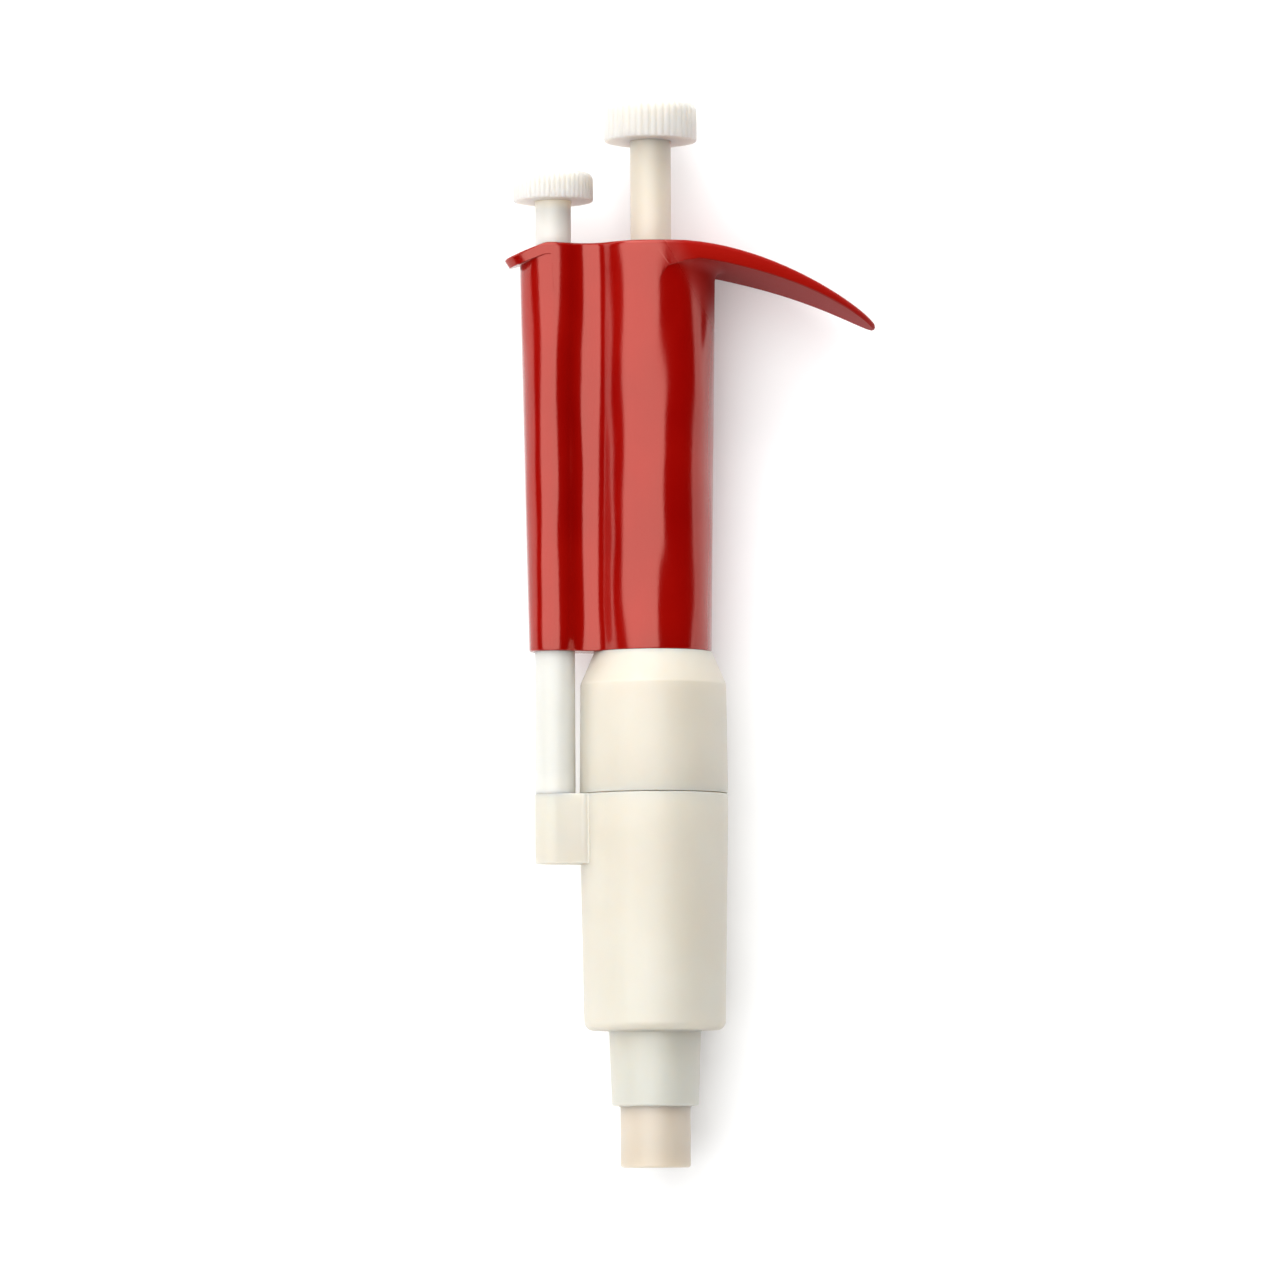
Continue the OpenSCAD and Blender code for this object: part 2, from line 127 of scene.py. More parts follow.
def makeRoom():
    # The lamps do nearly all the lighting: the sky stays almost black so that the red keeps its depth
    world = bpy.data.worlds.new("room")
    bpy.context.scene.world = world
    world.use_nodes = True
    sky = world.node_tree.nodes["Background"]
    sky.inputs["Color"].default_value = (1, 1, 1, 1)
    sky.inputs["Strength"].default_value = 0.005
    for name, lamp in lamps.items():
        makeLamp(name, lamp["at"], lamp["aimY"], lamp["size"], lamp["watts"])
    bpy.context.scene.view_settings.view_transform = "Standard"


bench = {
    "radius": 3.0, "wall": 0.45, "bend": 0.3,  # the paper turns up into a low wall all round
    "sides": 96, "bendSteps": 6, "gap": 0.00005,  # gap keeps it just clear of the pipette
    "middle": 0.1,  # along the pipette
    "paper": (0.84, 0.86),
    "glow": 0.14, "farGlow": 0.78,  # a lit table: its shadows stay pale, and so does its far end
    "glowFrom": 0.5, "glowTo": 1.8,
}


def makeBench():
    b = bench
    bpy.ops.object.select_all(action="DESELECT")
    bpy.ops.mesh.primitive_circle_add(vertices=b["sides"], radius=b["radius"], fill_type="NGON")
    paper = bpy.context.object
    paper.name = "bench"
    rings = []
    for step in range(1, b["bendSteps"] + 1):
        turn = math.pi / 2 * step / b["bendSteps"]
        rings.append((b["radius"] + b["bend"] * math.sin(turn), b["bend"] * (1 - math.cos(turn))))
    rings.append((rings[-1][0], b["wall"]))
    bpy.ops.object.mode_set(mode="EDIT")
    bpy.ops.mesh.select_all(action="SELECT")
    bpy.ops.mesh.select_mode(type="EDGE")
    bpy.ops.mesh.region_to_loop()
    width, level = b["radius"], 0.0
    for newWidth, newLevel in rings:
        bpy.ops.mesh.extrude_edges_move(TRANSFORM_OT_translate={"value": (0, 0, newLevel - level)})
        grow = newWidth / width
        bpy.ops.transform.resize(value=(grow, grow, 1), center_override=(0, 0, 0))
        width, level = newWidth, newLevel
    bpy.ops.mesh.select_all(action="SELECT")
    bpy.ops.transform.translate(value=(0, b["middle"], benchUp / metre - b["gap"]))
    bpy.ops.object.mode_set(mode="OBJECT")
    bpy.ops.object.shade_smooth()
    paper.data.materials.append(benchPaper())


def nodeOf(tree, kind, **sockets):
    made = tree.nodes.new(kind)
    for name, value in sockets.items():
        made.inputs[name.replace("_", " ")].default_value = value
    return made


def blankMaterial(name):
    material = bpy.data.materials.new(name)
    material.use_nodes = True
    tree = material.node_tree
    shader = tree.nodes["Principled BSDF"]
    place = tree.nodes.new("ShaderNodeTexCoord").outputs["Object"]
    return material, tree, shader, place


def speckle(tree, place, scale, detail=3.0):
    noise = nodeOf(tree, "ShaderNodeTexNoise", Scale=scale, Detail=detail, Roughness=0.55)
    tree.links.new(place, noise.inputs["Vector"])
    return noise.outputs["Fac"]


def ramp(tree, source, stops):
    blend = tree.nodes.new("ShaderNodeValToRGB")
    band = blend.color_ramp
    while len(band.elements) < len(stops):
        band.elements.new(0.5)
    for element, (spot, colour) in zip(band.elements, stops):
        element.position = spot
        element.color = (*colour, 1)
    tree.links.new(source, blend.inputs["Fac"])
    return blend.outputs["Color"]


def bump(tree, shader, layers):
    # Layers are (height, strength, distance), the coarsest first. A strength may be a socket.
    normal = None
    for height, strength, distance in layers:
        made = nodeOf(tree, "ShaderNodeBump", Distance=distance)
        if isinstance(strength, float):
            made.inputs["Strength"].default_value = strength
        else:
            tree.links.new(strength, made.inputs["Strength"])
        tree.links.new(height, made.inputs["Height"])
        if normal:
            tree.links.new(normal, made.inputs["Normal"])
        normal = made.outputs["Normal"]
    tree.links.new(normal, shader.inputs["Normal"])


def benchPaper():
    material, tree, shader, place = blankMaterial("bench_paper")
    grain = speckle(tree, place, 60.0)
    low, high = bench["paper"]
    paper = ramp(tree, grain, [(0.3, (low, low, low)), (0.7, (high, high, high))])
    tree.links.new(paper, shader.inputs["Base Color"])
    shader.inputs["Roughness"].default_value = 0.9
    shader.inputs["Specular IOR Level"].default_value = 0.1
    shader.inputs["Emission Color"].default_value = (1, 1, 1, 1)
    far = tree.nodes.new("ShaderNodeVectorMath")
    far.operation = "LENGTH"
    tree.links.new(place, far.inputs[0])
    reach = (bench["glowFrom"], bench["glowTo"])
    glow = mapped(tree, far.outputs["Value"], reach, bench["glow"], bench["farGlow"])
    tree.links.new(glow, shader.inputs["Emission Strength"])
    bump(tree, shader, [(grain, 0.05, 0.0002)])
    return material


plastics = {
    # dark and light are the two ends of the slow colour drift over a moulding.
    # drift, grain and wave are noise scales; radius is how far light spreads inside, in mm.
    "red_plastic": {
        "dark": (0.235, 0.0008, 0.0003), "light": (0.265, 0.0018, 0.0006),
        "rough": (0.13, 0.19), "ior": 1.6, "level": 1.0, "tint": (0.93, 0.42, 0.35),
        "scatter": 0.0, "radius": (1, 1, 1), "drift": 55.0,
        "grain": 2600.0, "grainBump": 0.34, "wave": 80.0, "waveBump": 0.68,
        # Over the hook and the top edge: more roughness, plus a painted light (lighter base colour) and a
        # painted shade (darkened reflection tint)
        "paintedDullZone": (0.1990, 0.2120), "paintedDullSlant": 1.7,  # where it starts and ends, along slant * x + y
        "dullRough": 0.46, "paintedShadeTint": (0.08, 0.01, 0.01), "paintedLightColour": (0.275, 0.004, 0.0014),
    },
    "cream_plastic": {
        "dark": (0.565, 0.52, 0.435), "light": (0.595, 0.555, 0.475),
        "rough": (0.42, 0.52), "ior": 1.5, "level": 0.8, "tint": (1.0, 1.0, 1.0),
        "scatter": 0.9, "radius": (7.0, 5.5, 4.2), "drift": 40.0,
        "grain": 1500.0, "grainBump": 0.10, "wave": 60.0, "waveBump": 0.04,
    },
    "nose_plastic": {
        "dark": (0.535, 0.46, 0.37), "light": (0.565, 0.495, 0.41),
        "rough": (0.42, 0.52), "ior": 1.5, "level": 0.8, "tint": (1.0, 1.0, 1.0),
        "scatter": 0.9, "radius": (7.0, 5.5, 4.2), "drift": 45.0,
        "grain": 1500.0, "grainBump": 0.10, "wave": 60.0, "waveBump": 0.04,
    },
    "white_plastic": {
        "glow": (0.2180, 0.2214), "glowStrength": 0.22,  # the rod just under the push button
        "dark": (0.76, 0.785, 0.82), "light": (0.79, 0.815, 0.85),
        "rough": (0.36, 0.46), "ior": 1.5, "level": 0.45, "tint": (1.0, 1.0, 1.0),
        "scatter": 1.0, "radius": (9.0, 7.8, 6.4), "drift": 60.0,
        "grain": 1500.0, "grainBump": 0.08, "wave": 80.0, "waveBump": 0.03,
    },
    # The buttons' own copy of white_plastic, painted darker: a painted shade that holds back the light their
    # tops catch from the lamps
    "button_plastic": {
        "dark": (0.565, 0.55, 0.515), "light": (0.59, 0.58, 0.55),
        "rough": (0.36, 0.46), "ior": 1.5, "level": 0.45, "tint": (1.0, 1.0, 1.0),
        "scatter": 1.0, "radius": (9.0, 7.8, 6.4), "drift": 60.0,
        "grain": 1500.0, "grainBump": 0.08, "wave": 80.0, "waveBump": 0.03,
    },
    "natural_plastic": {
        "glow": (0.2055, 0.2080), "glowStrength": 0.18,  # the shaft just under the ejector button
        "dark": (0.61, 0.60, 0.555), "light": (0.64, 0.63, 0.59),
        "rough": (0.30, 0.40), "ior": 1.5, "level": 0.5, "tint": (1.0, 1.0, 1.0),
        "scatter": 1.0, "radius": (4.0, 3.5, 3.0), "drift": 50.0,
        "grain": 1200.0, "grainBump": 0.06, "wave": 50.0, "waveBump": 0.03,
    },
}


def plasticMaterial(name, look):
    material, tree, shader, place = blankMaterial(name)
    drift = speckle(tree, place, look["drift"], 2.0)
    grain = speckle(tree, place, look["grain"], 2.0)
    stretch = nodeOf(tree, "ShaderNodeMapping", Scale=(1.0, 0.4, 1.0))
    tree.links.new(place, stretch.inputs["Vector"])
    wave = speckle(tree, stretch.outputs["Vector"], look["wave"], 1.0)
    colour = ramp(tree, drift, [(0.35, look["dark"]), (0.65, look["light"])])
    tree.links.new(colour, shader.inputs["Base Color"])
    gloss = nodeOf(tree, "ShaderNodeMapRange")
    gloss.inputs["To Min"].default_value, gloss.inputs["To Max"].default_value = look["rough"]
    tree.links.new(grain, gloss.inputs["Value"])
    tree.links.new(gloss.outputs["Result"], shader.inputs["Roughness"])
    shader.inputs["IOR"].default_value = look["ior"]
    shader.inputs["Specular IOR Level"].default_value = look["level"]
    shader.inputs["Specular Tint"].default_value = (*look["tint"], 1)
    waveBump = look["waveBump"]
    # Painted light and painted shade over the hook, along with its extra roughness
    if "paintedDullZone" in look:
        waveBump = dullHookWithPaintedLight(tree, shader, place, look, colour, gloss.outputs["Result"])
    if "glow" in look:
        glowUnder(tree, shader, place, look)
    shader.inputs["Subsurface Weight"].default_value = look["scatter"]
    shader.inputs["Subsurface Radius"].default_value = look["radius"]
    shader.inputs["Subsurface Scale"].default_value = 1 / metre
    bump(tree, shader, [(wave, waveBump, 0.002), (grain, look["grainBump"], 0.00004)])
    return material


def mapped(tree, value, span, low, high):
    # Eases from low to high as the value crosses the span
    made = nodeOf(tree, "ShaderNodeMapRange")
    made.interpolation_type = "SMOOTHSTEP"
    made.inputs["From Min"].default_value, made.inputs["From Max"].default_value = span
    made.inputs["To Min"].default_value, made.inputs["To Max"].default_value = low, high
    tree.links.new(value, made.inputs["Value"])
    return made.outputs["Result"]


def dullHookWithPaintedLight(tree, shader, place, look, colour, gloss):
    # The hook and the top edge beside it are dull and smoother. There the base colour is painted lighter,
    # standing in for light on the hook, and the reflections are tinted dark, a painted shade under the hook.
    # Returns the strength of the waves, which fade out there.
    split = tree.nodes.new("ShaderNodeSeparateXYZ")
    tree.links.new(place, split.inputs["Vector"])
    slant = tree.nodes.new("ShaderNodeMath")
    slant.operation = "MULTIPLY_ADD"
    slant.inputs[1].default_value = look["paintedDullSlant"]
    tree.links.new(split.outputs["X"], slant.inputs[0])
    tree.links.new(split.outputs["Y"], slant.inputs[2])
    reach = slant.outputs["Value"]
    dull = tree.nodes.new("ShaderNodeMath")
    dull.operation = "ADD"
    tree.links.new(gloss, dull.inputs[0])
    tree.links.new(mapped(tree, reach, look["paintedDullZone"], 0.0, look["dullRough"]), dull.inputs[1])
    tree.links.new(dull.outputs["Value"], shader.inputs["Roughness"])
    paintedDullZone = mapped(tree, reach, look["paintedDullZone"], 0.0, 1.0)
    # Painted shade: the reflections over the hook are tinted dark
    tint = ramp(tree, paintedDullZone, [(0.0, look["tint"]), (1.0, look["paintedShadeTint"])])
    tree.links.new(tint, shader.inputs["Specular Tint"])
    # Painted light: the base colour over the hook is made lighter
    lighter = tree.nodes.new("ShaderNodeMix")
    lighter.data_type = "RGBA"
    lighter.inputs["B"].default_value = (*look["paintedLightColour"], 1)
    tree.links.new(colour, lighter.inputs["A"])
    tree.links.new(paintedDullZone, lighter.inputs["Factor"])
    tree.links.new(lighter.outputs["Result"], shader.inputs["Base Color"])
    return mapped(tree, reach, look["paintedDullZone"], look["waveBump"], 0.0)


def glowUnder(tree, shader, place, look):
    # Light that comes down through the button tints the top of the rod
    split = tree.nodes.new("ShaderNodeSeparateXYZ")
    tree.links.new(place, split.inputs["Vector"])
    glow = mapped(tree, split.outputs["Y"], look["glow"], 0.0, look["glowStrength"])
    tree.links.new(glow, shader.inputs["Emission Strength"])
    shader.inputs["Emission Color"].default_value = (1.0, 0.78, 0.38, 1)


metals = {
    "steel": {"dark": (0.42, 0.42, 0.44), "light": (0.62, 0.62, 0.64), "rough": (0.22, 0.36)},
    "brass": {"dark": (0.55, 0.40, 0.16), "light": (0.75, 0.58, 0.28), "rough": (0.20, 0.34)},
}


def metalMaterial(name, look):
    # Turning marks: noise squeezed along the main axis, which is y
    material, tree, shader, place = blankMaterial(name)
    squeeze = nodeOf(tree, "ShaderNodeMapping", Scale=(40, 4000, 40))
    tree.links.new(place, squeeze.inputs["Vector"])
    marks = speckle(tree, squeeze.outputs["Vector"], 1.0, 2.0)
    colour = ramp(tree, marks, [(0.3, look["dark"]), (0.7, look["light"])])
    tree.links.new(colour, shader.inputs["Base Color"])
    gloss = nodeOf(tree, "ShaderNodeMapRange")
    gloss.inputs["To Min"].default_value, gloss.inputs["To Max"].default_value = look["rough"]
    tree.links.new(marks, gloss.inputs["Value"])
    tree.links.new(gloss.outputs["Result"], shader.inputs["Roughness"])
    shader.inputs["Metallic"].default_value = 1.0
    bump(tree, shader, [(marks, 0.08, 0.00003)])
    return material


softs = {
    "seal_rubber": {"dark": (0.02, 0.02, 0.02), "light": (0.05, 0.05, 0.05), "rough": 0.75, "grain": 900.0},
    "filter_felt": {"dark": (0.62, 0.62, 0.60), "light": (0.86, 0.86, 0.84), "rough": 0.95, "grain": 1800.0},
}


def softMaterial(name, look):
    # Rubber and felt: matt, with a grain that also stands up
    material, tree, shader, place = blankMaterial(name)
    grain = speckle(tree, place, look["grain"], 4.0)
    colour = ramp(tree, grain, [(0.3, look["dark"]), (0.7, look["light"])])
    tree.links.new(colour, shader.inputs["Base Color"])
    shader.inputs["Roughness"].default_value = look["rough"]
    bump(tree, shader, [(grain, 0.4, 0.0001)])
    return material


finishes = {name: plasticMaterial(name, look) for name, look in plastics.items()}
finishes.update({name: metalMaterial(name, look) for name, look in metals.items()})
finishes.update({name: softMaterial(name, look) for name, look in softs.items()})
print("materials made")


def deselectAll():
    bpy.ops.object.select_all(action="DESELECT")


def onlySelect(piece):
    deselectAll()
    piece.select_set(True)
    bpy.context.view_layer.objects.active = piece


def arc(centre, radius, start, end, steps):
    # Points of an arc in a plane, with its angles in degrees
    points = []
    for k in range(steps + 1):
        angle = math.radians(start + (end - start) * k / steps)
        points.append((centre[0] + radius * math.cos(angle), centre[1] + radius * math.sin(angle)))
    return points


def placeRing(piece, ring):
    mesh = bmesh.from_edit_mesh(piece.data)
    for vert, spot in zip([v for v in mesh.verts if v.select], ring):
        vert.co = spot
    bmesh.update_edit_mesh(piece.data)


def growRings(name, rings, ends="cap"):
    # A circle of edges is extruded once for each ring and set to that ring's shape.
    # The two ends are capped, or bridged to each other to close a hollow wall.
    deselectAll()
    bpy.ops.mesh.primitive_circle_add(vertices=len(rings[0]), radius=1)
    piece = bpy.context.object
    piece.name = piece.data.name = name
    bpy.ops.object.mode_set(mode="EDIT")
    placeRing(piece, rings[0])
    for ring in rings[1:]:
        bpy.ops.mesh.extrude_edges_move()
        placeRing(piece, ring)
    if ends == "cap":
        bpy.ops.mesh.edge_face_add()
    bpy.ops.mesh.select_all(action="DESELECT")
    bpy.ops.mesh.select_non_manifold()
    if ends == "cap":
        bpy.ops.mesh.edge_face_add()
    else:
        bpy.ops.mesh.bridge_edge_loops()
    bpy.ops.mesh.select_all(action="SELECT")
    bpy.ops.mesh.normals_make_consistent(inside=False)
    bpy.ops.object.mode_set(mode="OBJECT")
    return piece


def turned(name, profile, sides=160):
    # A piece turned on a lathe from (radius, height) points
    rings = []
    for radius, height in profile:
        rings.append([
            (radius * math.cos(2 * math.pi * k / sides), radius * math.sin(2 * math.pi * k / sides), height)
            for k in range(sides)
        ])
    return growRings(name, rings, "bridge")


def applyModifier(piece, kind, **settings):
    onlySelect(piece)
    modifier = piece.modifiers.new(kind.lower(), kind)
    for key, value in settings.items():
        setattr(modifier, key, value)
    bpy.ops.object.modifier_apply(modifier=modifier.name)


def joinSolid(piece, other, how):
    applyModifier(piece, "BOOLEAN", object=other, operation=how, solver="EXACT")
    bpy.data.objects.remove(other)


def cutter(radius, foot, top, x=0.0, sides=96):
    deselectAll()
    bpy.ops.mesh.primitive_cylinder_add(
        vertices=sides, radius=radius, depth=top - foot, location=(x, 0, (foot + top) / 2)
    )
    return bpy.context.object


def finishPiece(piece, body, slot, nodes, smoothAngle=32, finish=None):
    piece.matrix_world = layDown @ piece.matrix_world
    onlySelect(piece)
    bpy.ops.object.transform_apply(location=True, rotation=True, scale=True)
    bpy.ops.object.shade_smooth_by_angle(angle=math.radians(smoothAngle))
    piece.data.materials.clear()
    piece.data.materials.append(finishes[finish or slot])
    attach(piece, body)
    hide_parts(*nodes)
    print("made", piece.name, len(piece.data.polygons), "faces")


handle = {
    "mainFoot": 12.6, "mainTop": 13.9,  # radius of the main lobe
    "lobeFoot": 5.5, "lobeTop": 7.3,  # radius of the ejector lobe
    "valley": 6.0,  # radius of the hollow fillets between the lobes
    "footEdge": 0.4, "topEdge": 0.9,
    "sideDrop": 12.5,  # the straight side ends this far below the top
    "plate": 6.0, "rim": 5.0,  # thickness of the top plate, and width of its curved border
    "hookReach": 49.05, "hookDrop": 16.1, "hookStart": 4.0, "hookPower": 1.8,
    "hookShape": 2.2,  # higher is a blunter tongue
    "rootThick": 3.7, "tipThick": 1.8, "thinFrom": 14.0, "thinOver": 34.0,
    "fillet": 2.8, "hookSlant": 0.5,
    "beakReach": 3.2, "beakStart": 23.8, "beakSpan": 7.1, "beakDrop": 2.6, "beakPower": 1.05,
    "beakFrom": 0.15, "beakSwell": 1.2,  # where round the lobe it begins, and how it grows
    "beakThick": 2.5, "beakFillet": 0.25, "beakSlant": 1.3, "beakEdge": 0.55,
    "bushHole": 5.8, "shaftHole": 3.91, "bore": 10.0, "tubeBore": 4.36,
}
counts = {  # points or rings in each stretch of the handle
    "main": 84, "valley": 14, "lobe": 52,
    "side": 14, "rise": 3, "fillet": 6, "under": 14, "edge": 3, "top": 14,
}


def mix(a, b, t):
    return a + (b - a) * t


def handleOutline(height, inset=0.0):
    # Level outline: main lobe, hollow fillet, ejector lobe, hollow fillet
    h = handle
    t = (height - handleFoot) / (handleTop - handleFoot)
    main = mix(h["mainFoot"], h["mainTop"], t)
    lobe = mix(h["lobeFoot"], h["lobeTop"], t)
    valley = h["valley"]
    far, near = main + valley, lobe + valley
    vx = -(far * far - near * near + offset * offset) / (2 * offset)
    vy = math.sqrt(far * far - vx * vx)
    aMain = math.degrees(math.atan2(vy, vx))
    aLobe = math.degrees(math.atan2(vy, vx + offset))
    return (
        arc((0, 0), main - inset, -aMain, aMain, counts["main"])
        + arc((vx, vy), valley + inset, aMain - 180, aLobe - 180, counts["valley"])[1:-1]
        + arc((-offset, 0), lobe - inset, aLobe, 360 - aLobe, counts["lobe"])
        + arc((vx, -vy), valley + inset, 180 - aLobe, 180 - aMain, counts["valley"])[1:-1]
    )


def topHeight(x):
    # The top plate is level, then droops to the hook's tip and to the beak
    h = handle
    if x > h["hookStart"]:
        share = (x - h["hookStart"]) / (h["hookReach"] - h["hookStart"])
        return handleTop - h["hookDrop"] * share ** h["hookPower"]
    if x < -h["beakStart"]:
        share = (-h["beakStart"] - x) / h["beakSpan"]
        return handleTop - h["beakDrop"] * share ** h["beakPower"]
    return handleTop


def rimPoint(spot):
    # Where the outline's point ends up on the rim of the hook or of the beak
    h = handle
    x, y = spot
    if x > 0 and abs(y) < h["mainTop"]:
        level = 1 - (y / h["mainTop"]) ** 2
        return (max(x, h["hookReach"] * max(level, 0) ** (1 / h["hookShape"])), y)
    outward = (-offset - x) / h["lobeTop"]
    if outward > h["beakFrom"]:
        share = (outward - h["beakFrom"]) / (1 - h["beakFrom"])
        return (x - h["beakReach"] * share ** h["beakSwell"], y)
    return (x, y)


def outwardNormals(loop):
    normals = []
    for k in range(len(loop)):
        ahead, behind = loop[(k + 1) % len(loop)], loop[k - 1]
        dx, dy = ahead[0] - behind[0], ahead[1] - behind[1]
        size = math.hypot(dx, dy) or 1.0
        normals.append((dy / size, -dx / size))
    return normals


def ease(t):
    t = min(max(t, 0.0), 1.0)
    return t * t * (3 - 2 * t)


def thickAt(x):
    h = handle
    if x < 0:
        return h["beakThick"]
    return mix(h["rootThick"], h["tipThick"], ease((x - h["thinFrom"]) / h["thinOver"]))


def wallPath(wall, sideTop, count, lip):
    # Where nothing sticks out, the side simply runs up to the top edge
    path = []
    for step in range(1, count + 1):
        height = mix(sideTop, handleTop - lip, step / count)
        path.append((*wall(height), height))
    return path


def hookedPath(wall, sideTop, rim, normal, lip):
    # Up the side, round the fillet, along the underside and up the rim
    h = handle
    rx, ry = rim
    onHook = rx > 0
    cx, fillet = (0.0, h["fillet"]) if onHook else (-offset, h["beakFillet"])
    wx, wy = wall(handleTop - h["plate"])
    radius = math.hypot(wx - cx, wy)
    depth = math.hypot(rx - cx, ry) - radius
    slant = min(h["hookSlant"] if onHook else h["beakSlant"], 0.3 * depth)
    ex, ey = rx - normal[0] * slant, ry - normal[1] * slant
    reach = math.dist((wx, wy), (ex, ey))
    way = ((ex - wx) / reach, (ey - wy) / reach)

    def outFor(deep):
        # how far to go along the way to be this deep outside the lobe
        b = (wx - cx) * way[0] + wy * way[1]
        return math.sqrt(b * b + (radius + deep) ** 2 - radius * radius) - b

    def below(out):
        # the underside's point this far along the way
        px, py = wx + way[0] * out, wy + way[1] * out
        gap = max(fillet - max(math.hypot(px - cx, py) - radius, 0), 0)
        drop = fillet - math.sqrt(fillet * fillet - gap * gap)
        return px, py, topHeight(px) - thickAt(px) - drop

    path = []
    for step in range(1, counts["rise"] + 1):
        height = mix(sideTop, below(0)[2], step / counts["rise"])
        path.append((*wall(height), height))
    first = min(fillet, 0.8 * max(math.hypot(ex - cx, ey) - radius, 0.001))
    sweep = math.acos(1 - first / fillet)
    for step in range(1, counts["fillet"] + 1):
        path.append(below(outFor(fillet * (1 - math.cos(sweep * step / counts["fillet"])))))
    start = outFor(first)
    for step in range(1, counts["under"] + 1):
        path.append(below(mix(start, reach, step / counts["under"])))
    low, high = path[-1][2], topHeight(rx) - lip
    if onHook:
        path += [(mix(ex, rx, 0.7), mix(ey, ry, 0.7), low + slant * 0.3), (rx, ry, low + slant)]
    else:
        path += [(mix(ex, rx, t), mix(ey, ry, t), mix(low, high, t)) for t in (0.15, 0.85)]
    path.append((rx, ry, high))
    return path


def handleRings():
    h = handle
    sideTop = handleTop - h["sideDrop"]
    rings = []
    for inset, height in [(h["footEdge"], 0), (h["footEdge"] * 0.3, h["footEdge"] * 0.3), (0, h["footEdge"])]:
        rings.append([(x, y, handleFoot + height) for x, y in handleOutline(handleFoot + height, inset)])
    for k in range(1, counts["side"] + 1):
        height = mix(handleFoot + h["footEdge"], sideTop, k / counts["side"])
        rings.append([(x, y, height) for x, y in handleOutline(height)])
    below, above = handleOutline(sideTop), handleOutline(handleTop)
    rim = [rimPoint(spot) for spot in above]
    normal = outwardNormals(rim)
    inner = handleOutline(handleTop, h["rim"])
    plainCount = counts["rise"] + counts["fillet"] + counts["under"] + 3  # as many as a hooked path has
    paths = []
    for k, (rx, ry) in enumerate(rim):

        def wall(height):
            t = (height - sideTop) / (handleTop - sideTop)
            return mix(below[k][0], above[k][0], t), mix(below[k][1], above[k][1], t)

        lip = h["topEdge"] if rx > -offset else h["beakEdge"]
        if math.dist(rim[k], above[k]) < 0.02:
            path = wallPath(wall, sideTop, plainCount, lip)
        else:
            path = hookedPath(wall, sideTop, rim[k], normal[k], lip)
        edgeTop = path[-1][2]
        for step in range(1, counts["edge"] + 1):
            angle = math.pi / 2 * step / counts["edge"]
            back = lip * (1 - math.cos(angle))
            path.append((rx - normal[k][0] * back, ry - normal[k][1] * back, edgeTop + lip * math.sin(angle)))
        bx, by, bz = path[-1]
        for step in range(1, counts["top"] + 1):
            t = step / counts["top"]
            px, py = mix(bx, inner[k][0], t), mix(by, inner[k][1], t)
            path.append((px, py, mix(bz, topHeight(px), ease(4 * t))))
        paths.append(path)
    for step in range(len(paths[0])):
        rings.append([path[step] for path in paths])
    return rings


def makeHandle():
    h = handle
    shell = growRings("handle_shell", handleRings())
    under, over = handleFoot - 5, handleTop + 5  # the cutters reach well past both ends
    boreTop = handleTop - h["plate"]
    holes = [
        (h["bore"], under, boreTop, 0), (h["bushHole"], boreTop - 2, over, 0),
        (h["tubeBore"], under, boreTop, -offset), (h["shaftHole"], boreTop - 2, over, -offset),
    ]
    for hole in holes:
        joinSolid(shell, cutter(*hole), "DIFFERENCE")
    finishPiece(shell, "housing", "red_plastic", ["handle", "finger_hook"])


buttons = {
    "push_button": {
        "name": "push_button_ribbed", "body": "plunger", "x": 0.0, "radius": 10.05, "ribs": 40,
        "ribDepth": 0.27, "topEdge": 1.9, "socket": 4.42, "socketDepth": 4.0, "crown": 0.15,
    },
    "ejector_button": {
        "name": "ejector_button_ribbed", "body": "ejector", "x": -offset, "radius": 8.65, "ribs": 46,
        "ribDepth": 0.24, "topEdge": 1.6, "socket": 3.87, "socketDepth": 3.4, "crown": 0.12,
    },
}
buttonFoot = [(1.5, 0, 0), (0.7, 0, 0.35), (0.3, 0.06, 0.8), (0.08, 0.2, 1), (0, 0.45, 1)]  # inset, up, rib
ribSteps = 10  # points around one rib
ribSharp = 2.2  # higher is a narrower groove
edgeSteps = 6


def ribbedRing(look, radius, height, depth):
    # Round crests with narrow grooves between them
    ring = []
    total = look["ribs"] * ribSteps
    for k in range(total):
        angle = 2 * math.pi * k / total
        groove = (0.5 + 0.5 * math.cos(look["ribs"] * angle)) ** ribSharp
        r = radius - depth * groove
        ring.append((look["x"] + r * math.cos(angle), r * math.sin(angle), height))
    return ring


def makeButton(node):
    look = buttons[node]
    foot, top = footAndTop(node)
    radius, edge, depth = look["radius"], look["topEdge"], look["ribDepth"]
    top -= look["crown"]
    lead = 0.25  # the socket's mouth is chamfered
    rings = [
        ribbedRing(look, look["socket"], foot + look["socketDepth"], 0),
        ribbedRing(look, look["socket"], foot + lead, 0),
        ribbedRing(look, look["socket"] + lead, foot, 0),
    ]
    for inset, up, rib in buttonFoot:
        rings.append(ribbedRing(look, radius - inset, foot + up, depth * rib))
    for height in ((foot + top - edge) / 2, top - edge):
        rings.append(ribbedRing(look, radius, height, depth))
    for step in range(1, edgeSteps + 1):
        angle = math.pi / 2 * step / edgeSteps
        rings.append(ribbedRing(
            look, radius - edge * (1 - math.cos(angle)), top - edge * (1 - math.sin(angle)),
            depth * math.cos(angle) ** 0.6,
        ))
    flat = radius - edge
    for share in (0.8, 0.55, 0.3, 0.1):
        rings.append(ribbedRing(look, flat * share, top + look["crown"] * (1 - share * share), 0))
    # The buttons take the darker copy of white_plastic, a painted shade
    finishPiece(growRings(look["name"], rings), look["body"], "white_plastic", [node], 40, "button_plastic")


head = {
    "footRadius": 15.95, "shoulderRadius": 15.7, "shoulder": 104.1, "coneRadius": 12.72,
    "round": 1.6, "footEdge": 0.18, "bore": 12.52, "neck": 9.98, "vent": 8.0, "guide": 2.56,
    "boreTop": 97.5, "guideHeight": 2.5, "roundDrop": 0.8, "gap": 0.02,
}


